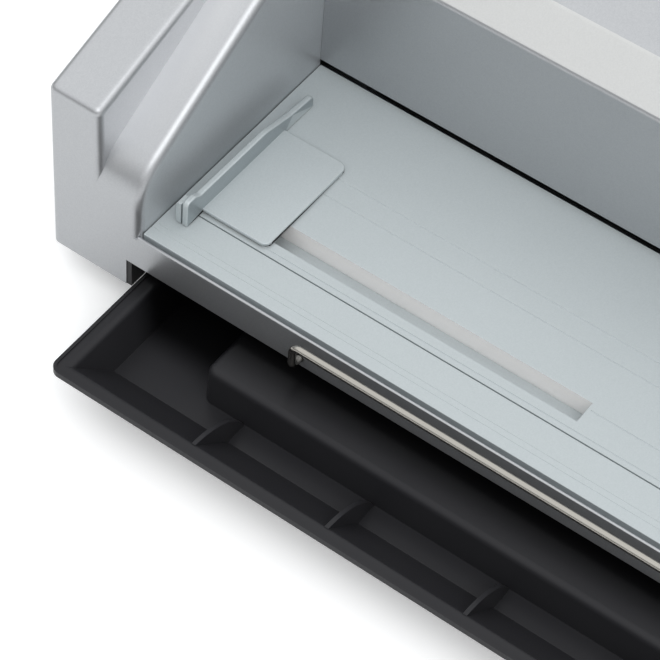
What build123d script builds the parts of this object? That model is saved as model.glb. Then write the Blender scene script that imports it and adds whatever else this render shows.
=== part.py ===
"""Electric desktop hole punch: two end blocks, a flat sheet bed, a punch head and a chip tray under the bed.

Frame: +X to the operator's right, +Y to the back, +Z up, millimetres. The origin lies on the desk, under the
middle of the whole object with its tray drawn out as far as it stands at rest.
"""

from build123d import *

import os
from math import atan, cos, pi, radians, sin, sqrt, tan

# ---------------------------------------------------------------- driving dimensions
PUNCH_COUNT = 11
PUNCH_PITCH = 25.4
ROW_MARGIN = 23.0           # outermost punch to the end of the throat
BED_MARGIN = 22.0           # end of the throat to the end block
BLOCK_WIDTH = 40.0          # width of each end block
STEP_WIDTH = 22.5           # width of the block's high outer part; the rest is the low inner ramp
MACHINE_DEPTH = 301.0       # front panel to the back of the rear cover
HEAD_D = 107.0              # front panel to the head's front face
TRAY_DRAWN = 53.0           # how far the tray stands out at rest
BED_HEIGHT = 42.0           # bed surface above the desk
SKIRT_DROP = 30.0           # bed surface down to the bottom of the housing
RAIL_DROP = 17.3            # bed surface down to the bottom of the front rail
RAIL_TOP = 1.6              # bed surface down to the top edge of the front rail
RAIL_LIP = 0.8              # thickness of the rail's lip in front of the bed
WALL = 2.5                  # moulded cover thickness
SHEET = 3.0                 # bed plate thickness
PAN = 1.5                   # base pan thickness
PROUD = 1.5                 # how far the mains inlet stands off the rear cover

FRONT_RISE = 50.0           # bed surface up to the front top edge of the outer block
TOP_SLOPE = 0.325           # rise over run of the block's and the head's tops
RAMP_RISE = 24.2            # where the ramp's plane meets the front panel's plane
RAMP_SLOPE = 0.58
NOSE_R = 22.0               # round nose at the ramp's front
LEVEL_RUN = 86.0            # length of the level tops at the back
CREST_R = 60.0
EDGE_R = 3.0                # soft edges of the mouldings
RIDGE_R = 3.5

HEAD_RISE = 61.5            # bed surface to the top of the head's front face
BAND_RUN = 14.2             # bright sloping band above that face, front to back
BAND_LIFT = 14.2
THROAT = 3.1                # gap that the sheets enter
THROAT_DEPTH = 15.8         # head's face to the stop that the sheets meet

PIN_R = 3.175 / 2
PIN_CLEAR = 0.04            # radial running clearance of the pins
STROKE = 6.2                # travel of the punch carriage
SHAFT_R = 5.0
POST_R = 5.0
RUN = 0.05                  # radial running clearance of shafts and posts
GAP = 0.3                   # clearance between sliding pieces
PLAY = 0.1                  # room between pieces that stay still
MODULE = 1.5                # gear teeth
GEAR_T, PINION_T = 44, 16

TRAY_SIDE = 2.0             # tray's rim to the end block
TRAY_BEHIND = 22.0          # punch row to the tray's back when it is pushed in
TRAY_FLOOR = 38.0           # bed surface down to the tray's floor
TRAY_RIM = 19.6             # bed surface down to the tray's rim
TRAY_SKIN = 2.0
FLANGE = 6.0                # width of the tray's rim at its sides
FRONT_LIP = 5.0             # width of the tray's rim at its front
SIDE_TROUGH = 41.0          # tray's side to its raised floor
PLATEAU_DROP = 22.0         # bed surface down to the raised floor
RIB_INSET = 18.0            # end of the raised floor to the outermost web
RIB_T = 1.6

# ---------------------------------------------------------------- places that follow from them
ROW_HALF = (PUNCH_COUNT - 1) / 2 * PUNCH_PITCH
SHEET_HALF = ROW_HALF + ROW_MARGIN              # half the width of the throat
BED_HALF = SHEET_HALF + BED_MARGIN              # half the width of the sheet bed, between the end blocks
FRONT_Y = -(MACHINE_DEPTH + PROUD - TRAY_DRAWN) / 2     # the front panel's plane
OUT = BED_HALF + BLOCK_WIDTH                    # outer faces of the end blocks
STEP_X = OUT - STEP_WIDTH                       # wall between the block's two levels
SKIN_X = BED_HALF + 6.0                         # inner faces of the blocks below the bed
REAR_T = 3.0                                    # rear cover thickness
BODY_D = MACHINE_DEPTH - REAR_T                 # where the housing meets the rear cover
FRAME_T = 3.4                                   # side frame thickness
FRAME_X = SKIN_X + WALL + PLAY                  # inner face of each side frame
FRAME_D0 = HEAD_D - 3.0                         # front edge of the side frames
FRAME_D1 = HEAD_D + 138.0
CREST_D = MACHINE_DEPTH - LEVEL_RUN             # where the tops turn level
CREST_RISE = FRONT_RISE + TOP_SLOPE * CREST_D
BAND_D = HEAD_D + BAND_RUN
BAND_RISE = HEAD_RISE + BAND_LIFT
HEAD_CREST = BAND_RISE + TOP_SLOPE * (CREST_D - BAND_D)
MEET_D = (FRONT_RISE - RAMP_RISE) / (RAMP_SLOPE - TOP_SLOPE)    # where the ramp runs into the top
PAN_LOW = -SKIRT_DROP + 0.5
PAN_TOP = PAN_LOW + PAN

PUNCH_D = HEAD_D + 11.0         # row of punch pins
POST_D = HEAD_D + 27.0          # guide posts
SHAFT_D = HEAD_D + 33.0         # drive shaft
SHAFT_RISE = 55.0
THROW = STROKE / 2
TRAY_HALF = BED_HALF - TRAY_SIDE
TRAY_DEPTH = PUNCH_D + TRAY_BEHIND              # front to back of the tray
PLATEAU_HALF = TRAY_HALF - SIDE_TROUGH          # half the width of the raised floor
RIB_PITCH = (PLATEAU_HALF - RIB_INSET) / 2


def back(distance):
    """Y of a plane this far behind the front panel."""
    return FRONT_Y + distance


def up(rise):
    """Z of a plane this far above the bed surface."""
    return BED_HEIGHT + rise


def block(x0, x1, d0, d1, r0, r1):
    """A box between two X planes, two distances behind the front panel and two rises above the bed."""
    return Pos((x0 + x1) / 2, back((d0 + d1) / 2), up((r0 + r1) / 2)) * Box(x1 - x0, d1 - d0, r1 - r0)


def profile(points, radii=None):
    """A closed face in the YZ plane from (distance, rise) corners; radii rounds corners by their number."""
    corners = [(back(d), up(r)) for d, r in points]
    face = make_face(Plane.YZ * Polyline(*corners, close=True))
    for index, radius in (radii or {}).items():
        corner = Vector(0, *corners[index])
        vertex = min(face.vertices(), key=lambda v: (Vector(*v) - corner).length)
        face = fillet(vertex, radius)
    return face


def prism(points, x0, x1, radii=None):
    """A YZ profile run from one X plane to another."""
    return Pos(x0, 0, 0) * extrude(profile(points, radii), x1 - x0, dir=(1, 0, 0))


def rod_x(x0, x1, d, r, radius):
    """A round bar along X."""
    return Pos((x0 + x1) / 2, back(d), up(r)) * Rot(0, 90, 0) * Cylinder(radius, abs(x1 - x0))


def rod_y(x, d0, d1, r, radius):
    """A round bar along Y."""
    return Pos(x, back((d0 + d1) / 2), up(r)) * Rot(90, 0, 0) * Cylinder(radius, d1 - d0)


def rod_z(x, d, r0, r1, radius):
    """A round bar along Z."""
    return Pos(x, back(d), up((r0 + r1) / 2)) * Cylinder(radius, abs(r1 - r0))


def both(shape):
    """The shape and its mirror image on the other side of the machine."""
    return [shape, mirror(shape, Plane.YZ)]


def edges_on_x(shape, x, low_rise, far_d):
    """Edges of a shape lying in the plane at x, above low_rise and in front of far_d."""
    found = []
    for edge in shape.edges():
        box = edge.bounding_box()
        flat = abs(box.min.X - x) < 1e-3 and abs(box.max.X - x) < 1e-3
        if flat and box.max.Z > up(low_rise) and box.min.Y < back(far_d) - 1:
            found.append(edge)
    return found


# ---------------------------------------------------------------- screws
HEAD_WIDE = 1.9             # screw head radius over shank radius
HEAD_TALL = 1.3             # screw head height over shank radius
DRIVE = 0.8                 # width and depth of a screw's slot


def screw(x, d, seat, tip, radius):
    """A pan-head screw along Z: its head sits on the rise seat and its shank ends at the rise tip."""
    sense = 1 if seat > tip else -1
    top = seat + sense * HEAD_TALL * radius
    wide = HEAD_WIDE * radius
    body = rod_z(x, d, tip, seat, radius) + rod_z(x, d, seat, top, wide)
    low, high = sorted((top, top - sense * DRIVE))
    return body - block(x - DRIVE / 2, x + DRIVE / 2, d - wide, d + wide, low, high)


def side_screw(d, rise, seat, tip, radius):
    """A pan-head screw along X: its head sits on the plane x = seat and its shank ends at x = tip."""
    sense = 1 if seat > tip else -1
    top = seat + sense * HEAD_TALL * radius
    wide = HEAD_WIDE * radius
    body = rod_x(tip, seat, d, rise, radius) + rod_x(seat, top, d, rise, wide)
    near, far = sorted((top, top - sense * DRIVE))
    return body - block(near, far, d - wide, d + wide, rise - DRIVE / 2, rise + DRIVE / 2)


# ---------------------------------------------------------------- covers
SLOPE = atan(TOP_SLOPE)
TOP_IN = WALL / cos(SLOPE)                  # the wall measured straight down through each slope
RAMP_IN = WALL / cos(atan(RAMP_SLOPE))
LEDGE = 3.0                 # how far the bed rests on the end blocks
SHELF_D = 14.0              # depth of the shelf behind the front rail
PILLAR_R, PILLAR_IN = 4.5, 6.5      # screw pillars in the end blocks, and their distance from the outer face
PILLAR_D = (14.0, BODY_D - 14.0)
COVER_SCREW_R = 1.3

PANEL_D0, PANEL_D1 = 40.0, 128.0    # control panel along the right block's top
PANEL_HALF = 7.0
PANEL_T = 1.0
PANEL_X = OUT - STEP_WIDTH / 2
PANEL_LENGTH = (PANEL_D1 - PANEL_D0) / cos(SLOPE)
BUTTON_R = 4.6
BUTTON_STAND = 2.2          # how far a button stands off the panel
BUTTON_TRAVEL = 1.2
BUTTON_FOOT = 1.6
LAMP_R = 2.4
BUTTON_D = {"punch_button": 62.0, "reverse_button": 86.0}
LAMP_D = 108.0
SWITCH_DEEP = 12.0          # button board under the block's top
SWITCH_T = 1.6

WIRE_R = 1.45
WIRE_X = SHEET_HALF - 48.0
WIRE_LOW = -13.2            # legs of the support wire
WIRE_TOP = -2.0             # its front bar
WIRE_OUT = 4.8              # front bar in front of the panel


def on_top(distance, depth=0.0):
    """A plane on the right block's sloping top, or under it, with its Z axis square to the slope."""
    normal = Vector(0, -sin(SLOPE), cos(SLOPE))
    origin = Vector(PANEL_X, back(distance), up(FRONT_RISE + TOP_SLOPE * distance)) - normal * depth
    return Plane(origin=origin, x_dir=(1, 0, 0), z_dir=normal)


def end_block():
    """The left block as a solid: the high outer part and the low ramp beside the bed."""
    low = -SKIRT_DROP
    outer = prism([(0, low), (0, FRONT_RISE), (CREST_D, CREST_RISE), (BODY_D, CREST_RISE), (BODY_D, low)],
                  -OUT, -STEP_X, {1: EDGE_R, 2: CREST_R})
    for x in (-OUT, -STEP_X):
        outer = fillet(edges_on_x(outer, x, low + 1, BODY_D), EDGE_R)
    ramp = prism([(0, low), (0, RAMP_RISE), (MEET_D, RAMP_RISE + RAMP_SLOPE * MEET_D),
                  (CREST_D, CREST_RISE), (BODY_D, CREST_RISE), (BODY_D, low)],
                 -STEP_X - 2 * EDGE_R, -BED_HALF, {1: NOSE_R, 2: CREST_R, 3: CREST_R})
    ramp = fillet(edges_on_x(ramp, -BED_HALF, low + 1, BODY_D), RIDGE_R)
    return outer + ramp


def block_hollow():
    """What is taken out of the left block, leaving walls of even thickness."""
    low = -SKIRT_DROP - 1
    crest = CREST_RISE - WALL
    high = prism([(WALL, low), (WALL, FRONT_RISE + TOP_SLOPE * WALL - TOP_IN), (CREST_D, CREST_RISE - TOP_IN),
                  (CREST_D + 2 * WALL, crest), (BODY_D + 1, crest), (BODY_D + 1, low)],
                 -OUT + WALL, -STEP_X - WALL)
    ramp = prism([(WALL, low), (WALL, RAMP_RISE + RAMP_SLOPE * WALL - RAMP_IN),
                  (MEET_D, RAMP_RISE + RAMP_SLOPE * MEET_D - RAMP_IN),
                  (CREST_D, CREST_RISE - RAMP_IN), (BODY_D + 1, CREST_RISE - RAMP_IN), (BODY_D + 1, low)],
                 -OUT + WALL, -BED_HALF - WALL, {1: NOSE_R - WALL})
    return high + ramp


def left_shell():
    """The hollow left block with its ledge for the bed, its lower inner wall and its screw pillars."""
    low = -SKIRT_DROP
    shell = end_block() - block_hollow()
    shell -= block(-SKIN_X, -BED_HALF + 1, -1, BODY_D + 1, low - 1, -SHEET - WALL)
    shell += block(-SKIN_X - WALL, -SKIN_X, 0, FRAME_D0 - 1, low, -SHEET)
    shell += block(-SKIN_X - WALL, -BED_HALF + LEDGE, 0, FRAME_D0 - 1, -SHEET - WALL, -SHEET)
    # open to the head, so that the shaft, frame and die reach in
    mouth = HEAD_D + 2 * PLAY
    head_side = [(mouth, low - 1), (mouth, HEAD_RISE - 22), (BAND_D, BAND_RISE - 8),
                 (CREST_D, HEAD_CREST - 8), (BODY_D + 1, HEAD_CREST - 8), (BODY_D + 1, low - 1)]
    shell -= prism(head_side, -SKIN_X - WALL - 0.5, -BED_HALF + 1)
    for d in PILLAR_D:
        shell += rod_z(-OUT + PILLAR_IN, d, PAN_TOP, -8.0, PILLAR_R)
        shell -= rod_z(-OUT + PILLAR_IN, d, PAN_TOP - 1, -12.0, COVER_SCREW_R)
    return shell


def housing():
    """Both end blocks and the front rail, one moulding."""
    left = left_shell()
    right = mirror(left, Plane.YZ)
    right -= on_top((PANEL_D0 + PANEL_D1) / 2) * Box(2 * PANEL_HALF, PANEL_LENGTH, 2 * PANEL_T)
    for d in BUTTON_D.values():
        right -= on_top(d) * Cylinder(BUTTON_R + GAP, 4 * WALL)
    right -= on_top(LAMP_D) * Cylinder(LAMP_R, 4 * WALL)
    boss = SWITCH_DEEP - SWITCH_T / 2 - WALL / 2
    for d in (PANEL_D0 + 11.0, PANEL_D1 - 7.0):
        right += on_top(d, WALL / 2 + boss / 2) * Cylinder(2.2, boss)
    rail = block(-SKIN_X, SKIN_X, 0, WALL, -RAIL_DROP, -SHEET)
    rail += block(-BED_HALF - 1, BED_HALF + 1, 0, RAIL_LIP, -SHEET, -RAIL_TOP)
    front = rail.edges().filter_by(Axis.X).group_by(Axis.Y)[0]
    rail = fillet([e for e in front if abs(e.center().Z - up(-SHEET)) > PLAY], 0.5)
    shelf = block(-BED_HALF, BED_HALF, WALL - 0.5, SHELF_D, -SHEET - WALL, -SHEET)
    shell = left + right + rail + shelf
    for x in (-WIRE_X, WIRE_X):
        shell -= rod_y(x, -1, WALL + 2, WIRE_LOW, WIRE_R + GAP)
    return shell


def head_cover():
    """Front face, sloping band and top of the punch head, one moulding."""
    low = THROAT
    half = BED_HALF - PLAY
    outer = prism([(HEAD_D, low), (HEAD_D, HEAD_RISE), (BAND_D, BAND_RISE), (CREST_D, HEAD_CREST),
                   (BODY_D, HEAD_CREST), (BODY_D, low)],
                  -half, half, {1: 3.0, 2: 10.0, 3: CREST_R})
    inner_rise = HEAD_RISE - WALL * tan(radians(22.5))
    inner = prism([(HEAD_D + WALL, low - 1), (HEAD_D + WALL, inner_rise), (BAND_D + 1.0, BAND_RISE - TOP_IN),
                   (CREST_D, HEAD_CREST - TOP_IN), (CREST_D + 2 * WALL, HEAD_CREST - WALL),
                   (BODY_D + 1, HEAD_CREST - WALL), (BODY_D + 1, low - 1)],
                  -BED_HALF, BED_HALF, {2: 8.0})
    return outer - inner


INLET_X, SWITCH_X = BED_HALF - 29.0, BED_HALF - 64.0
INLET_RISE = -2.0
INLET_W, INLET_H = 27.0, 19.6
SWITCH_W, SWITCH_H = 13.0, 19.4
LOUVRES, LOUVRE_PITCH, LOUVRE_W = 14, 12.0, 3.2
LOUVRE_X0 = -120.0


def rear_cover():
    """Back panel with louvres and the holes for the inlet and the mains switch."""
    panel = block(-OUT, OUT, BODY_D, MACHINE_DEPTH, -SKIRT_DROP, HEAD_CREST)
    for side in both(block(-OUT, -BED_HALF, BODY_D, MACHINE_DEPTH, -SKIRT_DROP, CREST_RISE)):
        panel += side
    panel = fillet(panel.faces().sort_by(Axis.Y)[-1].outer_wire().edges(), 1.6)
    for i in range(LOUVRES):
        x = LOUVRE_X0 + i * LOUVRE_PITCH
        panel -= block(x - LOUVRE_W / 2, x + LOUVRE_W / 2, BODY_D - 1, MACHINE_DEPTH + 1, 20.0, 60.0)
    for x, w, h in ((INLET_X, INLET_W, INLET_H), (SWITCH_X, SWITCH_W, SWITCH_H)):
        panel -= block(x - w / 2, x + w / 2, BODY_D - 1, MACHINE_DEPTH + 1,
                       INLET_RISE - h / 2, INLET_RISE + h / 2)
    return panel


ARM_X0 = SKIN_X + WALL + 0.6
ARM_X1 = OUT - WALL - GAP
PAN_D0 = TRAY_DEPTH + 6.0
FOOT_R = 11.0
FOOT_X = (ARM_X0 + ARM_X1) / 2
FOOT_D = (24.0, BODY_D - 24.0)
FLANGE_W = 14.0             # foot flange of each side frame
FLANGE_SCREW_D = (FRAME_D0 + 10, FRAME_D1 - 10)
FRAME_SCREW_R = 2.0


def base_pan():
    """Pressed steel base, open at the front where the tray runs."""
    pan = block(-ARM_X1, ARM_X1, PAN_D0, BODY_D - 0.5, PAN_LOW, PAN_TOP)
    for arm in both(block(-ARM_X1, -ARM_X0, WALL + GAP, BODY_D - 0.5, PAN_LOW, PAN_TOP)):
        pan += arm
    pan += block(-SKIN_X, SKIN_X, PAN_D0, PAN_D0 + PAN, PAN_LOW, -RAIL_DROP - 1)
    for side in (-1, 1):
        for d in PILLAR_D:
            pan -= rod_z(side * (OUT - PILLAR_IN), d, PAN_LOW - 1, PAN_TOP + 1, COVER_SCREW_R + GAP)
        for d in FLANGE_SCREW_D:
            pan -= rod_z(side * (FRAME_X + FLANGE_W - 4), d, PAN_LOW - 1, PAN_TOP + 1, FRAME_SCREW_R)
    return pan


def feet():
    """Four rubber feet."""
    shapes = []
    for x in (-FOOT_X, FOOT_X):
        for d in FOOT_D:
            foot = rod_z(x, d, -BED_HEIGHT, PAN_LOW, FOOT_R)
            shapes.append(fillet(foot.edges().group_by(Axis.Z)[0], 1.5))
    return shapes


def cover_screws():
    """Screws up through the pan into the housing's pillars."""
    return [screw(side * (OUT - PILLAR_IN), d, PAN_LOW, PAN_LOW + 12.0, COVER_SCREW_R)
            for side in (-1, 1) for d in PILLAR_D]


# ---------------------------------------------------------------- sheet bed and edge guide
STRIP_D0, STRIP_D1 = 1.9, 20.4
SEAM = 0.45
SLOT_D0, SLOT_D1 = 27.0, 36.8
SLOT_X0, SLOT_X1 = -BED_HALF + 6.0, -7.5
SLOT_DEEP = 8.0
CHANNEL_T = 1.1
BED_GAP = 0.35              # bed to the end blocks
SCORES = (23.2, 56.3, 65.5)
FRONT_SCORES = (6.5, 9.0)
SCORE_W = 0.4
RELIEF = 0.4                # groove at the foot of the channel's back wall and end wall


def score(x0, x1, d, width):
    """A shallow V-shaped line pressed along the bed."""
    return Pos((x0 + x1) / 2, back(d), up(0)) * Rot(45, 0, 0) * Box(x1 - x0, width, width)


def bed_front_strip():
    """Extruded strip along the bed's front edge."""
    half = BED_HALF - BED_GAP
    strip = block(-half, half, STRIP_D0, STRIP_D1, -SHEET, 0)
    strip = fillet(strip.edges().filter_by(Axis.X).group_by(Axis.Z)[-1], 0.3)
    for d in FRONT_SCORES:
        strip -= score(-BED_HALF, BED_HALF, d, SCORE_W / 2)
    return strip


def bed_plate():
    """Flat bed with the guide's slot and its pressed lines."""
    half = BED_HALF - BED_GAP
    t = CHANNEL_T
    plate = block(-half, half, STRIP_D1 + SEAM, DIE_D0 - PLAY, -SHEET, 0)
    plate -= block(SLOT_X0 - t, SLOT_X1 + t, SLOT_D0 - t, SLOT_D1 + t, -SHEET - 1, 1)
    for d in SCORES:
        plate -= score(-BED_HALF + LEDGE, BED_HALF, d, SCORE_W)
    return plate - score(SLOT_X1 + t, BED_HALF, SLOT_D1 - LEDGE, SCORE_W)


def guide_channel():
    """Open-topped channel let into the bed's slot, with a flange under the bed."""
    t = CHANNEL_T
    body = block(SLOT_X0 - t, SLOT_X1 + t, SLOT_D0 - t, SLOT_D1 + t, -SLOT_DEEP - t, 0)
    body += block(SLOT_X0 - t, SLOT_X1 + 4 * t, SLOT_D0 - 4 * t, SLOT_D1 + 4 * t, -SHEET - t, -SHEET)
    low = -SLOT_DEEP - RELIEF
    body -= block(SLOT_X0, SLOT_X1, SLOT_D0, SLOT_D1, -SLOT_DEEP, 1)
    body -= block(SLOT_X0, SLOT_X1, SLOT_D1 - RELIEF, SLOT_D1, low, 1)
    return body - block(SLOT_X1 - RELIEF, SLOT_X1, SLOT_D0, SLOT_D1, low, 1)


GUIDE_X = -SHEET_HALF - 11.6        # face of the fence that the sheets meet
FENCE_T = 2.4
FENCE_D0, FENCE_D1 = 13.5, 89.0
FENCE_TALL, FENCE_MID, FENCE_LOW = 12.0, 9.9, 5.2
TAB_T, TAB_RUN, TAB_TALL = 2.4, 4.5, 10.4   # finger tab beside the fence's front end
PLATE_LIFT, PLATE_LIP = 0.7, 2.0            # relief under the plate's front edge
PLATE_W = 28.0
PLATE_D0, PLATE_D1 = 22.6, 71.2
PLATE_T = 1.7
PLATE_TOP = GAP + PLATE_T
PLATE_CORNER = 3.2
SLIDER_X0, SLIDER_X1 = GUIDE_X + 3.6, GUIDE_X + PLATE_W - 9.0
SLIDER_X = (SLIDER_X0 + SLIDER_X1) / 2
GUIDE_SCREW_D = (29.5, 34.5)
GUIDE_SCREW_R = 1.0
GUIDE_SEAT = -SLOT_DEEP + 3.0       # where the guide's screws bear in the slider


def edge_guide():
    """Thin plate with an upright fence, one moulding."""
    plate = block(GUIDE_X - 0.5, GUIDE_X + PLATE_W, PLATE_D0, PLATE_D1, GAP, PLATE_TOP)
    plate = fillet(plate.edges().filter_by(Axis.Z).group_by(Axis.X)[-1], PLATE_CORNER)
    rim = plate.faces().sort_by(Axis.Z)[-1].outer_wire().edges().sort_by(Axis.X)[1:]
    plate = fillet(rim, 0.4)
    fence = prism([(FENCE_D0, GAP), (FENCE_D0, FENCE_TALL), (FENCE_D0 + 5, FENCE_TALL - 0.2),
                   (FENCE_D0 + 8, FENCE_MID + 0.3), (60.0, FENCE_MID), (75.0, FENCE_LOW + 1.2),
                   (FENCE_D1, FENCE_LOW), (FENCE_D1, GAP)],
                  GUIDE_X - FENCE_T, GUIDE_X, {1: 2.2, 2: 1.5, 3: 2.0, 4: 12.0, 5: 12.0, 6: 2.2})
    top = edges_on_x(fence, GUIDE_X, 1.0, BODY_D) + edges_on_x(fence, GUIDE_X - FENCE_T, 1.0, BODY_D)
    tab_x = GUIDE_X - FENCE_T
    tab = block(tab_x - TAB_T, tab_x, FENCE_D0, FENCE_D0 + TAB_RUN, GAP, TAB_TALL)
    tab = fillet(tab.edges().filter_by(Axis.Y).group_by(Axis.Z)[-1].sort_by(Axis.X)[:1], 0.8)
    guide = plate + fillet(top, 0.7) + tab
    guide -= block(tab_x - 0.3, tab_x + 0.2, FENCE_D0 - 1, FENCE_D0 + 0.8, 0, FENCE_TALL)
    guide -= block(GUIDE_X, GUIDE_X + PLATE_W, PLATE_D0 - 1, PLATE_D0 + PLATE_LIP, 0, GAP + PLATE_LIFT)
    for d in GUIDE_SCREW_D:
        guide -= rod_z(SLIDER_X, d, 0, PLATE_TOP - 0.6, GUIDE_SCREW_R)
    return guide


def guide_slider():
    """Nylon block that runs in the channel under the guide."""
    body = block(SLIDER_X0, SLIDER_X1, SLOT_D0 + GAP, SLOT_D1 - GAP, -SLOT_DEEP + GAP, GAP)
    body = fillet(body.edges().filter_by(Axis.Z), 0.8)
    for d in GUIDE_SCREW_D:
        body -= rod_z(SLIDER_X, d, -SLOT_DEEP, GAP + 1, GUIDE_SCREW_R)
        body -= rod_z(SLIDER_X, d, -SLOT_DEEP, GUIDE_SEAT, HEAD_WIDE * GUIDE_SCREW_R + PLAY)
    return body


def guide_screws():
    """Two screws from under the slider into the guide's plate."""
    return [screw(SLIDER_X, d, GUIDE_SEAT, PLATE_TOP - 0.9, GUIDE_SCREW_R) for d in GUIDE_SCREW_D]


# ---------------------------------------------------------------- sheet support wire
WIRE_END = HEAD_D - 7.0
WIRE_BEND = 3.2
WIRE_GUIDE_D = (4.0, 22.0)
WIRE_GUIDE_HALF = 5.0
COLLAR_L = 4.0
COLLAR_R = 2.5


def support_wire():
    """Bent wire that draws out of the front rail to carry large sheets."""
    corners = [(-WIRE_X, back(WIRE_END), up(WIRE_LOW)), (-WIRE_X, back(-WIRE_OUT), up(WIRE_LOW)),
               (-WIRE_X, back(-WIRE_OUT), up(WIRE_TOP)), (WIRE_X, back(-WIRE_OUT), up(WIRE_TOP)),
               (WIRE_X, back(-WIRE_OUT), up(WIRE_LOW)), (WIRE_X, back(WIRE_END), up(WIRE_LOW))]
    path = FilletPolyline(*corners, radius=WIRE_BEND)
    return sweep(Plane(origin=corners[0], z_dir=(0, -1, 0)) * Circle(WIRE_R), path)


def wire_collars():
    """Stop collars pressed on the wire's back ends."""
    return [rod_y(x, WIRE_END - COLLAR_L, WIRE_END, WIRE_LOW, COLLAR_R)
            - rod_y(x, WIRE_END - COLLAR_L - 1, WIRE_END + 1, WIRE_LOW, WIRE_R) for x in (-WIRE_X, WIRE_X)]


def wire_guides():
    """Nylon blocks under the bed that the wire slides in."""
    d0, d1 = WIRE_GUIDE_D
    half = WIRE_GUIDE_HALF
    return [block(x - half, x + half, d0, d1, WIRE_LOW - 3, -SHEET - WALL)
            - rod_y(x, d0 - 1, d1 + 1, WIRE_LOW, WIRE_R + RUN) for x in (-WIRE_X, WIRE_X)]


# ---------------------------------------------------------------- chip tray
TRAY_D0 = -TRAY_DRAWN
TRAY_D1 = TRAY_D0 + TRAY_DEPTH
TRAY_BACK = 4.0             # width of the tray's rim at its back
BEAD_W, BEAD_H = 1.2, 0.6   # raised bead round the rim
CORNER_R = 4.0
TRAY_SOFT = 2.6             # rounding of the basin's inner edges
SIDE_DRAFT = 3.5
FRONT_SLANT = 19.0
TROUGH = 9.5                # flat width of the trough behind the slanting front
PLATEAU_D = TRAY_D0 + FRONT_LIP + FRONT_SLANT + TROUGH
PLATEAU_DRAFT = 1.5


def basin(grow, top, bottom):
    """The tray's hollow, or with grow its outside: wide at the rim, narrower at the floor."""
    half = TRAY_HALF - FLANGE + grow
    near = TRAY_D0 + FRONT_LIP - grow
    far = TRAY_D1 - TRAY_BACK + grow
    long = prism([(near, top), (near + FRONT_SLANT, bottom), (far, bottom), (far, top)], -half, half)
    low = half - SIDE_DRAFT
    corners = [(-half, up(top)), (-low, up(bottom)), (low, up(bottom)), (half, up(top))]
    across = make_face(Plane.XZ * Polyline(*corners, close=True))
    return long & extrude(across, 2 * TRAY_DEPTH, both=True)


def rounded_slab(inset, low, high, radius):
    """The tray's outline drawn in by an inset, between two rises."""
    slab = block(-TRAY_HALF + inset, TRAY_HALF - inset, TRAY_D0 + inset, TRAY_D1 - inset, low, high)
    return fillet(slab.edges().filter_by(Axis.Z), radius)


def plateau(inset):
    """The raised floor behind the trough; an inset gives its hollow underside."""
    half, top, foot = PLATEAU_HALF - inset, -PLATEAU_DROP - inset, -TRAY_FLOOR - TRAY_SKIN
    near, far = PLATEAU_D + inset, TRAY_D1 - TRAY_BACK - inset
    return prism([(near, foot), (near + PLATEAU_DRAFT, top), (far, top), (far, foot)], -half, half)


def soft_plateau():
    """The raised floor with its upright front corners and top edges rounded."""
    raised = plateau(0)
    front = raised.faces().sort_by(Axis.Y)[0].edges()
    raised = fillet([e for e in front if e.bounding_box().size.X < 1], CORNER_R)
    top = raised.faces().sort_by(Axis.Z)[-1].outer_wire().edges()
    return fillet([e for e in top if e.center().Y < back(TRAY_D1 - TRAY_BACK) - 1], 3.0)


def rib(x):
    """A web across the trough, its arched top falling from the rim to the foot of the raised floor."""
    near, far = TRAY_D0 + FRONT_LIP, PLATEAU_D + 0.5
    low = -TRAY_FLOOR - 0.5
    middle = (back(near + 17.0), up(-TRAY_RIM - 5.6))
    arch = ThreePointArc((back(near), up(-TRAY_RIM)), middle, (back(far), up(low)))
    sides = Polyline((back(far), up(low)), (back(near + FRONT_SLANT), up(low)), (back(near), up(-TRAY_RIM)))
    web = make_face(Plane.YZ * (arch + sides))
    return Pos(x - RIB_T / 2, 0, 0) * extrude(web, RIB_T, dir=(1, 0, 0))


def chip_tray():
    """Black moulded tray with a slanting front, a raised floor and webs across its trough."""
    rim = -TRAY_RIM
    tray = rounded_slab(0, rim - TRAY_SKIN, rim + BEAD_H, CORNER_R)
    tray -= rounded_slab(BEAD_W, rim, rim + 1, CORNER_R - BEAD_W)
    tray += basin(TRAY_SKIN, rim, -TRAY_FLOOR - TRAY_SKIN)
    tray -= basin(0, rim + 0.001, -TRAY_FLOOR)
    lip_x, lip_d = TRAY_HALF - FLANGE, TRAY_D0 + FRONT_LIP
    inner = [e for e in tray.edges() if abs(e.center().Z - up(rim)) < PLAY and e.length > TRAY_DEPTH / 2
             and abs(e.center().X) < lip_x + PLAY
             and back(lip_d - PLAY) < e.center().Y < back(TRAY_D1 - TRAY_BACK + PLAY)]
    tray = fillet(inner, TRAY_SOFT)
    tray += soft_plateau()
    tray -= plateau(TRAY_SKIN)
    for k in (-2, -1, 0, 1, 2):
        tray += rib(k * RIB_PITCH)
    return tray


RUNNER_T = 2.2
RUNNER_D0 = 18.0            # where the runner's arms start
RUNNER_IN = 2.7             # how far each arm reaches over and under the tray's rim


def tray_runner():
    """Left runner: a channel that holds the tray's rim from above and below."""
    back_end = PAN_D0 - 1.0
    top = -RAIL_DROP - GAP
    rim_low, rim_top = -TRAY_RIM - TRAY_SKIN, -TRAY_RIM + BEAD_H
    arm_x = -TRAY_HALF + RUNNER_IN
    web = block(-SKIN_X, -SKIN_X + RUNNER_T, GAP, back_end, -SKIRT_DROP + PLAY, top)
    lower = block(-SKIN_X, arm_x, RUNNER_D0, back_end, rim_low - GAP - RUNNER_T, rim_low - GAP)
    upper = block(-SKIN_X, arm_x, RUNNER_D0, back_end, rim_top + GAP, top)
    return web + lower + upper


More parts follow.
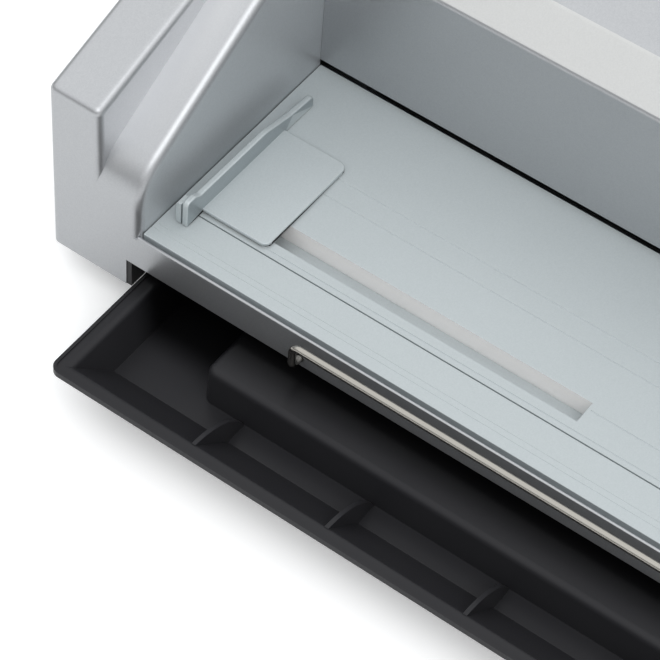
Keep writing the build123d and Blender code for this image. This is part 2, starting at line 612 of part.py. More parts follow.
# ---------------------------------------------------------------- punch frame
DIE_H = 16.0
SHIM_D0 = HEAD_D + 5.0
DIE_D0, DIE_D1 = HEAD_D + 0.4, POST_D + 12.0
BAR_D0, BAR_D1 = HEAD_D + WALL + 0.5, HEAD_D + 21.0
BAR_TOP = 14.0
BAR_SCREW_X = SHEET_HALF + 12.0
BAR_SCREW_R = 2.0
POST_X = SHEET_HALF - 10.0
POST_LOW = -12.0
BUSH_WALL = 3.0
BUSH_R = SHAFT_R + BUSH_WALL
FRAME_TOP = SHAFT_RISE + 15.0
DIE_SCREW_D = (DIE_D0 + 8, DIE_D1 - 8)
DIE_SCREW_IN = 10.0
MOTOR_SCREW_R = 1.5


def hole_row(radius, rise0, rise1):
    """Round bars along Z at each punch, to cut holes or be pins."""
    return [rod_z(-ROW_HALF + i * PUNCH_PITCH, PUNCH_D, rise0, rise1, radius) for i in range(PUNCH_COUNT)]


def side_frame():
    """Left side frame: a steel plate with a foot flange."""
    far = -FRAME_X - FRAME_T
    plate = block(far, -FRAME_X, FRAME_D0, FRAME_D1, PAN_TOP, FRAME_TOP)
    plate = chamfer(plate.edges().filter_by(Axis.X).group_by(Axis.Z)[-1], 8.0)
    plate += block(-FRAME_X - FLANGE_W, -FRAME_X, FRAME_D0, FRAME_D1, PAN_TOP, PAN_TOP + FRAME_T)
    holes = [(SHAFT_D, SHAFT_RISE, BUSH_R), (PINION_D, SHAFT_RISE, PINION_SHAFT_R + 3.0)]
    holes += [(d, -DIE_H / 2, FRAME_SCREW_R) for d in DIE_SCREW_D]
    holes += [(d, rise, MOTOR_SCREW_R) for d, rise in MOTOR_SCREWS]
    for d, rise, radius in holes:
        plate -= rod_x(far - 1, -FRAME_X + 1, d, rise, radius)
    for d in FLANGE_SCREW_D:
        plate -= rod_z(-FRAME_X - FLANGE_W + 4, d, PAN_TOP - 1, PAN_TOP + FRAME_T + 1, FRAME_SCREW_R)
    return plate


def die_block():
    """Steel die bar, its top level with the bed."""
    die = block(-FRAME_X, FRAME_X, DIE_D0, DIE_D1, -DIE_H, 0)
    for hole in hole_row(PIN_R + PIN_CLEAR, -DIE_H - 1, 1) + hole_row(PIN_R + 0.8, -DIE_H - 1, -5.0):
        die -= hole
    for side in (-1, 1):
        die -= rod_z(side * POST_X, POST_D, POST_LOW, 1, POST_R)
        die -= rod_z(side * BAR_SCREW_X, PUNCH_D, -10.0, 1, BAR_SCREW_R)
        for d in DIE_SCREW_D:
            far = side * (FRAME_X - DIE_SCREW_IN - 1)
            die -= rod_x(side * (FRAME_X + 1), far, d, -DIE_H / 2, FRAME_SCREW_R)
    return die


def throat_spacers():
    """Shims that hold the throat open at both ends."""
    shim = block(-FRAME_X, -SHEET_HALF, SHIM_D0, BAR_D1, 0, THROAT)
    return both(shim - rod_z(-BAR_SCREW_X, PUNCH_D, -1, THROAT + 1, BAR_SCREW_R))


def depth_stop():
    """Strip at the back of the throat that the sheets' edge meets."""
    return block(-SHEET_HALF + PLAY, SHEET_HALF - PLAY, HEAD_D + THROAT_DEPTH, BAR_D1, 0, THROAT)


def pin_guide_bar():
    """Bar over the throat that guides the pins and strips the sheets off them."""
    bar = block(-FRAME_X, FRAME_X, BAR_D0, BAR_D1, THROAT, BAR_TOP)
    for hole in hole_row(PIN_R + PIN_CLEAR, THROAT - 1, BAR_TOP + 1):
        bar -= hole
    for x in (-BAR_SCREW_X, BAR_SCREW_X):
        bar -= rod_z(x, PUNCH_D, THROAT - 1, BAR_TOP + 1, BAR_SCREW_R)
    return bar


def bar_screws():
    """Screws through the guide bar and shims into the die."""
    return [screw(x, PUNCH_D, BAR_TOP, -9.5, BAR_SCREW_R) for x in (-BAR_SCREW_X, BAR_SCREW_X)]


def frame_screws():
    """Screws through the side frames into the die, and through their flanges into the pan."""
    shapes = []
    for side in (-1, 1):
        seat = side * (FRAME_X + FRAME_T)
        tip = side * (FRAME_X - DIE_SCREW_IN)
        shapes += [side_screw(d, -DIE_H / 2, seat, tip, FRAME_SCREW_R) for d in DIE_SCREW_D]
        shapes += [screw(side * (FRAME_X + FLANGE_W - 4), d, PAN_TOP + FRAME_T, PAN_LOW, FRAME_SCREW_R)
                   for d in FLANGE_SCREW_D]
    return shapes


def guide_posts():
    """Two hardened posts that the punch carriage slides on."""
    posts = []
    for x in (-POST_X, POST_X):
        post = rod_z(x, POST_D, POST_LOW, BEAM_TOP + 5.0, POST_R)
        posts.append(chamfer(post.edges().group_by(Axis.Z)[-1], 1.0))
    return posts


# ---------------------------------------------------------------- punch carriage
BEAM_HALF = POST_X + 11.0
BEAM_D0, BEAM_D1 = BAR_D0, SHAFT_D + 15.0
RETAIN_T = 3.0
RETAIN_LOW = BAR_TOP + STROKE + 0.8
BEAM_LOW = RETAIN_LOW + RETAIN_T
BEAM_TOP = BEAM_LOW + 15.0
PIN_HEAD_R, PIN_HEAD_T = PIN_R + 1.2, 1.8
RETAIN_HALF = ROW_HALF + 4.5
RETAIN_D1 = POST_D - POST_R - BUSH_WALL - 1.5
RETAIN_SCREW_R = 1.5
RETAIN_SCREW_X = [-ROW_HALF + (i + 0.5) * PUNCH_PITCH for i in range(PUNCH_COUNT - 1)]
ECC_R = SHAFT_R + 4.0
YOKE_X, YOKE_T = SHEET_HALF - 60.0, 12.0
YOKE_WALL = 4.2
SLACK = 0.25 * THROW + GAP      # room in the yoke for the shaft's even turn against the carriage's even fall
SLOT_MID = SHAFT_RISE + THROW
YOKE_ROOM = ECC_R + THROW + 0.6
YOKE_HALF = YOKE_ROOM + 2.8
YOKE_TOP = SLOT_MID + ECC_R + SLACK + YOKE_WALL
YOKE_FOOT = 9.0
YOKE_SCREW_D = SHAFT_D - YOKE_HALF - 5.0
YOKE_SCREW_R = 1.5


def punch_pins():
    """Eleven punches, notched at the tip, each with a head."""
    pins = []
    tip = THROAT + 0.5
    heads = hole_row(PIN_HEAD_R, BEAM_LOW - PIN_HEAD_T, BEAM_LOW)
    for shank, head in zip(hole_row(PIN_R, tip, BEAM_LOW - PIN_HEAD_T / 2), heads):
        middle = shank.center()
        notch = Pos(middle.X, middle.Y, up(tip)) * Rot(0, 45, 0) * Box(1.2, 4 * PIN_R, 1.2)
        pins.append(shank + head - notch)
    return pins


def pin_retainer():
    """Plate under the beam that holds the pins by their heads."""
    plate = block(-RETAIN_HALF, RETAIN_HALF, BEAM_D0 + 1, RETAIN_D1, RETAIN_LOW, BEAM_LOW)
    holes = hole_row(PIN_R, RETAIN_LOW - 1, BEAM_LOW + 1)
    for hole in holes + hole_row(PIN_HEAD_R, BEAM_LOW - PIN_HEAD_T, BEAM_LOW + 1):
        plate -= hole
    for x in RETAIN_SCREW_X:
        plate -= rod_z(x, PUNCH_D, RETAIN_LOW - 1, BEAM_LOW + 1, RETAIN_SCREW_R)
        plate -= rod_z(x, PUNCH_D, RETAIN_LOW - 1, RETAIN_LOW + 1.7, 2 * RETAIN_SCREW_R)
    return plate


def retainer_screws():
    """Flush screws from below through the retainer into the beam, one between each two pins."""
    low, seat = RETAIN_LOW + 0.2, RETAIN_LOW + 1.7
    return [rod_z(x, PUNCH_D, low, seat, 2 * RETAIN_SCREW_R - PLAY)
            + rod_z(x, PUNCH_D, seat, BEAM_LOW + 6, RETAIN_SCREW_R) for x in RETAIN_SCREW_X]


def punch_beam():
    """Steel beam that drives all the pins."""
    beam = block(-BEAM_HALF, BEAM_HALF, BEAM_D0, BEAM_D1, BEAM_LOW, BEAM_TOP)
    beam = chamfer(beam.edges().filter_by(Axis.X).group_by(Axis.Z)[-1], 1.5)
    for x in (-POST_X, POST_X):
        beam -= rod_z(x, POST_D, BEAM_LOW - 1, BEAM_TOP + 1, POST_R + BUSH_WALL)
    for x in RETAIN_SCREW_X:
        beam -= rod_z(x, PUNCH_D, BEAM_LOW - 1, BEAM_LOW + 7, RETAIN_SCREW_R)
    for x in (-YOKE_X, YOKE_X):
        beam -= rod_z(x, YOKE_SCREW_D, BEAM_TOP - 8, BEAM_TOP + 1, YOKE_SCREW_R)
    return beam


def beam_bushes():
    """Flanged bronze bushes in the beam."""
    outer = POST_R + BUSH_WALL
    shapes = []
    for x in (-POST_X, POST_X):
        bush = rod_z(x, POST_D, BEAM_LOW, BEAM_TOP, outer)
        bush += rod_z(x, POST_D, BEAM_TOP, BEAM_TOP + 2.0, outer + 2.0)
        shapes.append(bush - rod_z(x, POST_D, BEAM_LOW - 1, BEAM_TOP + 3, POST_R + RUN))
    return shapes


def yoke(x):
    """Frame on the beam whose level slot takes an eccentric."""
    x0, x1 = x - YOKE_T / 2, x + YOKE_T / 2
    near = SHAFT_D - YOKE_HALF
    frame = block(x0, x1, near, SHAFT_D + YOKE_HALF, BEAM_TOP, YOKE_TOP)
    frame = fillet(frame.edges().filter_by(Axis.X).group_by(Axis.Z)[-1], 3.0)
    foot = block(x0, x1, near - YOKE_FOOT, near + 1, BEAM_TOP, BEAM_TOP + 4)
    foot -= rod_z(x, YOKE_SCREW_D, BEAM_TOP - 1, BEAM_TOP + 5, YOKE_SCREW_R)
    room = ECC_R + SLACK
    slot = block(x0 - 1, x1 + 1, SHAFT_D - YOKE_ROOM, SHAFT_D + YOKE_ROOM, SLOT_MID - room, SLOT_MID + room)
    return frame + foot - slot


def yoke_screws():
    """One screw through each yoke's foot into the beam."""
    return [screw(x, YOKE_SCREW_D, BEAM_TOP + 4, BEAM_TOP - 7, YOKE_SCREW_R) for x in (-YOKE_X, YOKE_X)]


# ---------------------------------------------------------------- drive
BACKLASH = 0.35
PRESSURE = radians(20)
ADDENDUM = 0.85
CENTRES = MODULE * (GEAR_T + PINION_T) / 2
PINION_D = SHAFT_D + CENTRES
GEAR_X0 = FRAME_X + FRAME_T + 5.0
GEAR_X1 = GEAR_X0 + 8.0
PINION_SHAFT_R = 4.0
PINION_SHAFT_IN = 20.0
SHAFT_LEFT = GEAR_X1 + 3.0
CAM_X, CAM_R, CAM_T = FRAME_X + FRAME_T + 3.0, 11.0, 4.0
SHAFT_RIGHT = CAM_X + CAM_T


def gear_face(teeth, turn):
    """Involute gear outline about the origin, a tooth centred on the angle turn, thinned by the backlash."""
    pitch_r = MODULE * teeth / 2
    base_r = pitch_r * cos(PRESSURE)
    tip_r = pitch_r + ADDENDUM * MODULE
    root_r = pitch_r - 1.2 * MODULE
    half = pi / (2 * teeth) - BACKLASH / 4 / pitch_r + tan(PRESSURE) - PRESSURE

    def flank(radius):
        """Half the tooth's angle at this radius."""
        steep = sqrt(max((radius / base_r) ** 2 - 1, 0.0))
        return half - (steep - atan(steep))

    start = max(root_r + 0.2, base_r)
    radii = [start + (tip_r - start) * k / 4 for k in range(5)]
    side = [(root_r, flank(start))] + [(r, flank(r)) for r in radii]
    outline = []
    for tooth in range(teeth):
        mid = turn + 2 * pi * tooth / teeth
        outline += [(r * cos(mid - a), r * sin(mid - a)) for r, a in side]
        outline += [(r * cos(mid + a), r * sin(mid + a)) for r, a in reversed(side)]
    return make_face(Polyline(*outline, close=True))


def gear_on_x(teeth, turn, x0, x1, d):
    """A gear whose axis is along X at the shaft's height; turn is measured from +Y towards +Z."""
    plane = Plane(origin=(x0, back(d), up(SHAFT_RISE)), x_dir=(0, 1, 0), z_dir=(1, 0, 0))
    return extrude(plane * gear_face(teeth, turn), x1 - x0, dir=(1, 0, 0))


def drive_gear():
    """Large gear on the left end of the drive shaft."""
    gear = gear_on_x(GEAR_T, 0.0, -GEAR_X1, -GEAR_X0, SHAFT_D)
    gear += rod_x(-GEAR_X0, -GEAR_X0 + 3.0, SHAFT_D, SHAFT_RISE, 2 * SHAFT_R)
    return gear - rod_x(-GEAR_X1 - 1, -GEAR_X0 + 4.0, SHAFT_D, SHAFT_RISE, SHAFT_R)


def motor_pinion():
    """Pinion with its own shaft, which runs in the gearbox."""
    pinion = gear_on_x(PINION_T, pi + pi / PINION_T, -GEAR_X1 - 1.0, -GEAR_X0 + 1.0, PINION_D)
    return pinion + rod_x(-GEAR_X0, -FRAME_X + PINION_SHAFT_IN, PINION_D, SHAFT_RISE, PINION_SHAFT_R)


def drive_shaft():
    """Shaft across the head that turns the eccentrics."""
    return rod_x(-SHAFT_LEFT, SHAFT_RIGHT, SHAFT_D, SHAFT_RISE, SHAFT_R)


def eccentric(x):
    """Round eccentric on the shaft, at the top of its throw at rest."""
    x0, x1 = x - YOKE_T / 2 + 1, x + YOKE_T / 2 - 1
    disc = rod_x(x0, x1, SHAFT_D, SHAFT_RISE + THROW, ECC_R)
    return disc - rod_x(x0 - 1, x1 + 1, SHAFT_D, SHAFT_RISE, SHAFT_R)


def shaft_bearing():
    """Left flanged bush in the side frame."""
    bush = rod_x(-FRAME_X - FRAME_T - 1.5, -FRAME_X, SHAFT_D, SHAFT_RISE, BUSH_R)
    bush += rod_x(-FRAME_X, -FRAME_X + 2.0, SHAFT_D, SHAFT_RISE, BUSH_R + 2.5)
    return bush - rod_x(-FRAME_X - FRAME_T - 3, -FRAME_X + 4, SHAFT_D, SHAFT_RISE, SHAFT_R + RUN)


def stroke_cam():
    """Disc with a flat on the right end of the shaft, read by the limit switch."""
    disc = rod_x(CAM_X, CAM_X + CAM_T, SHAFT_D, SHAFT_RISE, CAM_R)
    disc -= block(CAM_X - 1, CAM_X + CAM_T + 1, SHAFT_D - CAM_R, SHAFT_D + CAM_R,
                  SHAFT_RISE + CAM_R - 1.5, SHAFT_RISE + CAM_R + 1)
    return disc - rod_x(CAM_X - 1, CAM_X + CAM_T + 1, SHAFT_D, SHAFT_RISE, SHAFT_R)


def limit_switch():
    """Microswitch on the right side frame, its lever by the cam."""
    x0 = FRAME_X + FRAME_T
    face = SHAFT_D + CAM_R + 2.0
    body = block(x0, x0 + 8.0, face, face + 10.0, SHAFT_RISE - 14, SHAFT_RISE + 6)
    body += block(CAM_X, CAM_X + CAM_T, face - 1.5, face, SHAFT_RISE - 2, SHAFT_RISE + 1)
    for rise in (SHAFT_RISE - 11, SHAFT_RISE - 4, SHAFT_RISE + 3):
        body += block(x0 + 3.4, x0 + 4.6, face + 10.0, face + 15.0, rise - 1.5, rise + 1.5)
    return body


MOTOR_R, MOTOR_L = 27.0, 88.0
BOX_L, BOX_HALF = 36.0, 25.0
MOTOR_X0 = -FRAME_X + BOX_L
MOTOR_SCREW_IN = 6.0
MOTOR_SCREWS = [(PINION_D + dy, SHAFT_RISE + dz) for dy in (-17, 19) for dz in (-17, 17)]


def gearbox():
    """Reduction gearbox bolted to the left side frame."""
    body = block(-FRAME_X, -FRAME_X + BOX_L, PINION_D - BOX_HALF, PINION_D + BOX_HALF + 4,
                 SHAFT_RISE - BOX_HALF, SHAFT_RISE + BOX_HALF)
    body = fillet(body.edges().filter_by(Axis.X), 6.0)
    for d, rise in MOTOR_SCREWS:
        body -= rod_x(-FRAME_X - 1, -FRAME_X + MOTOR_SCREW_IN + 1, d, rise, MOTOR_SCREW_R)
    bore_end = -FRAME_X + PINION_SHAFT_IN + 1
    return body - rod_x(-FRAME_X - 1, bore_end, PINION_D, SHAFT_RISE, PINION_SHAFT_R + RUN)


def motor_body():
    """Motor can with its end cap."""
    far = MOTOR_X0 + MOTOR_L
    can = rod_x(MOTOR_X0, far, PINION_D, SHAFT_RISE, MOTOR_R)
    can = fillet(can.edges().group_by(Axis.X)[-1], 3.0)
    return can + rod_x(far, far + 8.0, PINION_D, SHAFT_RISE, MOTOR_R / 3)


def motor_bracket():
    """Saddle that carries the motor on the base pan."""
    d0, d1 = PINION_D - 20, PINION_D + 20
    near, far = MOTOR_X0 + 12, MOTOR_X0 + 72
    saddle = block(near, far, d0, d1, PAN_TOP, PAN_TOP + 3)
    for x in (near, far - 4):
        saddle += block(x, x + 4, d0, d1, PAN_TOP, SHAFT_RISE - 12)
    return saddle - rod_x(near - 1, far + 1, PINION_D, SHAFT_RISE, MOTOR_R + RUN)


def motor_screws():
    """Screws through the left frame into the gearbox."""
    seat, tip = -FRAME_X - FRAME_T, -FRAME_X + MOTOR_SCREW_IN
    return [side_screw(d, rise, seat, tip, MOTOR_SCREW_R) for d, rise in MOTOR_SCREWS]


# ---------------------------------------------------------------- electrics
BOARD_X0, BOARD_X1 = BED_HALF - 127.0, BED_HALF - 12.0
BOARD_D0 = PINION_D + 20.0
BOARD_D1 = BOARD_D0 + 57.0
BOARD_RISE = PAN_TOP + 10.0
BOARD_T = 1.6
CORE_X = BOARD_X0 - 48.0    # middle of the transformer, clear of the board


def control_board():
    """Circuit board on its standoffs."""
    return block(BOARD_X0, BOARD_X1, BOARD_D0, BOARD_D1, BOARD_RISE, BOARD_RISE + BOARD_T)


def board_parts():
    """Relays, capacitor, heat sink and terminal block on the board."""
    top = BOARD_RISE + BOARD_T
    shapes = [block(x, x + 18, BOARD_D0 + 8, BOARD_D0 + 23, top, top + 15)
              for x in (BOARD_X0 + 8, BOARD_X0 + 32, BOARD_X0 + 56)]
    shapes.append(rod_z(BOARD_X0 + 20, BOARD_D1 - 14, top, top + 26, 9.0))
    shapes.append(block(BOARD_X0 + 40, BOARD_X0 + 72, BOARD_D1 - 22, BOARD_D1 - 14, top, top + 24))
    shapes.append(block(BOARD_X1 - 30, BOARD_X1 - 4, BOARD_D1 - 14, BOARD_D1 - 4, top, top + 11))
    return shapes


def board_standoffs():
    """Four pillars under the board."""
    return [rod_z(x, d, PAN_TOP, BOARD_RISE, 3.0)
            for x in (BOARD_X0 + 5, BOARD_X1 - 5) for d in (BOARD_D0 + 5, BOARD_D1 - 5)]


def transformer():
    """Mains transformer: laminated core with its winding."""
    d = (BOARD_D0 + BOARD_D1) / 2
    x = CORE_X
    core = block(x - 29, x + 29, d - 25, d + 25, PAN_TOP + 3, PAN_TOP + 51)
    core += block(x - 35, x + 35, d - 22, d + 22, PAN_TOP, PAN_TOP + 3)
    return core + block(x - 19, x + 19, d - 33, d + 33, PAN_TOP + 12, PAN_TOP + 42)


def socket_body(x, width, height, deep, lip, wall):
    """A flanged box through the rear cover, hollow from behind."""
    w, h = width / 2 - PLAY, height / 2 - PLAY
    body = block(x - w, x + w, MACHINE_DEPTH - deep, MACHINE_DEPTH + PLAY, INLET_RISE - h, INLET_RISE + h)
    body += block(x - w - lip, x + w + lip, MACHINE_DEPTH, MACHINE_DEPTH + PROUD,
                  INLET_RISE - h - lip, INLET_RISE + h + lip)
    hollow = block(x - w + wall, x + w - wall, MACHINE_DEPTH - deep + 5, MACHINE_DEPTH + PROUD + 1,
                   INLET_RISE - h + wall, INLET_RISE + h - wall)
    return body - hollow


INLET_DEEP = 22.0
BLADES = ((-7.0, -2.0), (0.0, 2.0), (7.0, -2.0))


def power_inlet():
    """Recessed mains inlet with three blades."""
    body = socket_body(INLET_X, INLET_W, INLET_H, INLET_DEEP, 2.0, 1.6)
    for dx, dz in BLADES:
        x, rise = INLET_X + dx, INLET_RISE + dz
        body += block(x - 1, x + 1, MACHINE_DEPTH - INLET_DEEP + 4, MACHINE_DEPTH - 5.5, rise - 2, rise + 2)
    return body


SWITCH_WALL = 1.2
ROCKER_TILT = 8.0
ROCKER_D = MACHINE_DEPTH - 4.3
ROCKER_PIN = 1.0


def switch_frame():
    """Frame of the mains switch."""
    body = socket_body(SWITCH_X, SWITCH_W, SWITCH_H, 18.0, 1.3, SWITCH_WALL)
    pin = SWITCH_W / 2 - PLAY - 0.3
    return body - rod_x(SWITCH_X - pin, SWITCH_X + pin, ROCKER_D, INLET_RISE, ROCKER_PIN)


def power_switch():
    """Rocker of the mains switch, pressed at its lower end at rest."""
    inside = SWITCH_W / 2 - PLAY - SWITCH_WALL
    w = inside - GAP
    half = SWITCH_H / 2 - PLAY - SWITCH_WALL - 2.0
    d, mid = ROCKER_D, INLET_RISE
    rocker = prism([(d - 3.5, mid - 3.0), (d + 2.0, mid - half), (d + 4.6, mid - half), (d + 3.2, mid),
                    (d + 4.6, mid + half), (d + 2.0, mid + half), (d - 3.5, mid + 3.0)],
                   SWITCH_X - w, SWITCH_X + w)
    rocker += rod_x(SWITCH_X - inside - 0.6, SWITCH_X + inside + 0.6, d, mid, ROCKER_PIN - RUN)
    centre = Pos(SWITCH_X, back(d), up(mid))
    return centre * Rot(-ROCKER_TILT, 0, 0) * centre.inverse() * rocker


def control_panel():
    """Thin overlay let into the right block's top."""
    plate = Box(2 * (PANEL_HALF - PLAY), PANEL_LENGTH - 2 * PLAY, PANEL_T)
    plate = on_top((PANEL_D0 + PANEL_D1) / 2, PANEL_T / 2) * fillet(plate.edges().filter_by(Axis.Z), 1.5)
    for d in BUTTON_D.values():
        plate -= on_top(d) * Cylinder(BUTTON_R + GAP, 4 * WALL)
    return plate - on_top(LAMP_D) * Cylinder(LAMP_R, 4 * WALL)


def button(distance):
    """A round push button with a wider foot that keeps it in."""
    foot = WALL + GAP
    cap = Cylinder(BUTTON_R, BUTTON_STAND + foot + 1)
    cap = fillet(cap.edges().group_by(Axis.Z)[-1], 0.8)
    body = on_top(distance, (foot + 1 - BUTTON_STAND) / 2) * cap
    return body + on_top(distance, foot + BUTTON_FOOT / 2) * Cylinder(BUTTON_R + 1.6, BUTTON_FOOT)


def button_switches():
    """Small switches under the buttons, on their board."""
    board_half = (BUTTON_D["reverse_button"] - BUTTON_D["punch_button"]) / 2 + 23.0
    board = on_top((PANEL_D0 + PANEL_D1) / 2, SWITCH_DEEP) * Box(12.0, 2 * board_half, SWITCH_T)
    plunger = WALL + GAP + BUTTON_FOOT + BUTTON_TRAVEL + PLAY
    case = plunger + 1.4
    for d in BUTTON_D.values():
        board += on_top(d, (case + SWITCH_DEEP) / 2) * Box(6.0, 6.0, SWITCH_DEEP - case)
        board += on_top(d, plunger + 1.0) * Cylinder(1.6, 2.0)
    return board


def ready_lamp():
    """Lamp lens with its stem down to the board."""
    stem = SWITCH_DEEP - SWITCH_T / 2
    lens = Cylinder(LAMP_R, 1.8)
    lens = on_top(LAMP_D) * fillet(lens.edges().group_by(Axis.Z)[-1], 0.6)
    return lens + on_top(LAMP_D, stem / 2) * Cylinder(LAMP_R - GAP, stem)


# ---------------------------------------------------------------- write every node
PARTS = {
    "housing": housing, "head_cover": head_cover, "rear_cover": rear_cover, "base_pan": base_pan,
    "feet": feet, "cover_screws": cover_screws, "bed_front_strip": bed_front_strip, "bed_plate": bed_plate,
    "guide_channel": guide_channel, "edge_guide": edge_guide, "guide_slider": guide_slider,
    "guide_screws": guide_screws, "support_wire": support_wire, "wire_collars": wire_collars,
    "wire_guides": wire_guides, "chip_tray": chip_tray, "left_tray_runner": tray_runner,
    "right_tray_runner": lambda: mirror(tray_runner(), Plane.YZ), "left_side_frame": side_frame,
    "right_side_frame": lambda: mirror(side_frame(), Plane.YZ), "die_block": die_block,
    "throat_spacers": throat_spacers, "depth_stop": depth_stop, "pin_guide_bar": pin_guide_bar,
    "bar_screws": bar_screws, "frame_screws": frame_screws, "guide_posts": guide_posts,
    "punch_pins": punch_pins, "pin_retainer": pin_retainer, "retainer_screws": retainer_screws,
    "punch_beam": punch_beam, "beam_bushes": beam_bushes, "left_yoke": lambda: yoke(-YOKE_X),
    "right_yoke": lambda: yoke(YOKE_X), "yoke_screws": yoke_screws, "drive_shaft": drive_shaft,
    "left_eccentric": lambda: eccentric(-YOKE_X), "right_eccentric": lambda: eccentric(YOKE_X),
    "left_bearing": shaft_bearing, "right_bearing": lambda: mirror(shaft_bearing(), Plane.YZ),
    "drive_gear": drive_gear, "motor_pinion": motor_pinion, "gearbox": gearbox, "motor_body": motor_body,
    "motor_bracket": motor_bracket, "motor_screws": motor_screws, "stroke_cam": stroke_cam,
    "limit_switch": limit_switch, "control_board": control_board, "board_parts": board_parts,
    "board_standoffs": board_standoffs, "transformer": transformer, "power_inlet": power_inlet,
    "switch_frame": switch_frame, "power_switch": power_switch, "control_panel": control_panel,
    "punch_button": lambda: button(BUTTON_D["punch_button"]),
    "reverse_button": lambda: button(BUTTON_D["reverse_button"]),
    "button_switches": button_switches, "ready_lamp": ready_lamp,
}


def main():
    """Builds each node and writes it as one STEP file."""
    os.makedirs("parts", exist_ok=True)
    for name, make in PARTS.items():
        shape = make()
        solids = []
        for piece in shape if isinstance(shape, list) else [shape]:
            solids += piece.solids()
        export_step(Compound(children=solids) if len(solids) > 1 else solids[0], f"parts/{name}.step")


main()
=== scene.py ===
"""Looks of an electric desktop hole punch: its finishes, its sheet-support wire,
a pale table and soft light.
"""

import math

import bmesh
import bpy
from mathutils import Matrix, Vector


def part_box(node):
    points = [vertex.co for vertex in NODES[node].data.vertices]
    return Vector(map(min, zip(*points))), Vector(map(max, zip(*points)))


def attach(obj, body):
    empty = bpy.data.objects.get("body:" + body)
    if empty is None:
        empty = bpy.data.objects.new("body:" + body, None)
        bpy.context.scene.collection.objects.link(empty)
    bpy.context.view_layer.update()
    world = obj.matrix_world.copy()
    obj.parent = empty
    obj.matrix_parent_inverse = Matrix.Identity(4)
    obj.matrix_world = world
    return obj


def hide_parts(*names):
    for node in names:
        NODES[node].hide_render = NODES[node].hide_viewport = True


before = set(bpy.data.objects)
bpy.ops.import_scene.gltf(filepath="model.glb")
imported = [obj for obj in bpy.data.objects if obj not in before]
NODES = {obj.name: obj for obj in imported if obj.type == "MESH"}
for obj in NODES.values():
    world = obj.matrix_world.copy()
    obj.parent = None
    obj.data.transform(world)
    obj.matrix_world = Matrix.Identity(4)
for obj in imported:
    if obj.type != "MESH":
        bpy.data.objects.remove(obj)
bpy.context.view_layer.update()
MM = 0.001

# Places that finishes change at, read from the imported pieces.
RAMP_WIDTH = 17.5 * MM
RAMP_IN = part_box("bed_plate")[1].x
RAMP_OUT = RAMP_IN + RAMP_WIDTH
BED_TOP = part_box("bed_plate")[1].z
RAIL_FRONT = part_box("housing")[0].y

# The support wire, and how finely its tube is drawn.
WIRE_RADIUS = 1.45 * MM
WIRE_BEND = 3.2 * MM
WIRE_SIDES = 24
BEND_STEPS = 10


# ---------------------------------------------------------------- node helper and colours
def linear(code):
    """An sRGB hex colour as linear red, green, blue and full alpha."""
    parts = [int(code[i : i + 2], 16) / 255 for i in (1, 3, 5)]
    curve = [c / 12.92 if c <= 0.04045 else ((c + 0.055) / 1.055) ** 2.4 for c in parts]
    return (*curve, 1.0)


def add(tree, kind, sockets=None, **fields):
    """Adds a node, sets its fields, then sets or links its input sockets."""
    made = tree.nodes.new(kind)
    for field, value in fields.items():
        setattr(made, field, value)
    for socket, value in (sockets or {}).items():
        if isinstance(value, bpy.types.NodeSocket):
            tree.links.new(value, made.inputs[socket])
        else:
            made.inputs[socket].default_value = value
    return made


def per_mm(size):
    """Texture scale for a pattern whose features are this many millimetres across."""
    return 1.0 / (size * MM)


def start(name):
    """A new material with an empty tree; returns it with its tree and its object coordinates."""
    material = bpy.data.materials.new(name)
    material.use_nodes = True
    tree = material.node_tree
    tree.nodes.clear()
    return material, tree, add(tree, "ShaderNodeTexCoord").outputs["Object"]


def finish_shader(tree, sockets):
    """The principled shader with these sockets, joined to the output."""
    shader = add(tree, "ShaderNodeBsdfPrincipled", sockets)
    add(tree, "ShaderNodeOutputMaterial", {"Surface": shader.outputs["BSDF"]})


# ---------------------------------------------------------------- finishes
# Sizes of the patterns, in mm. Real flake is about 0.05 mm across, too fine to show, so it is
# drawn at 0.4 mm. Clouds are the slow drift of colour that any coat, sheet or moulding has.
FLAKE, ORANGE_PEEL, COAT_CLOUDS = 0.4, 1.6, 45
METAL_CLOUDS, MOULDED_CLOUDS = 60, 30
# How far the ramps' colour goes towards the paler one, a painted highlight, and the heights above
# the bed between which it comes in.
SHEEN_SHARE = 0.75
SHEEN_FROM, SHEEN_TO = 20 * MM, 38 * MM
# How far in front of the rail the tray's painted shade starts and ends its change.
SHADE_FROM, SHADE_TO = 16 * MM, 1 * MM


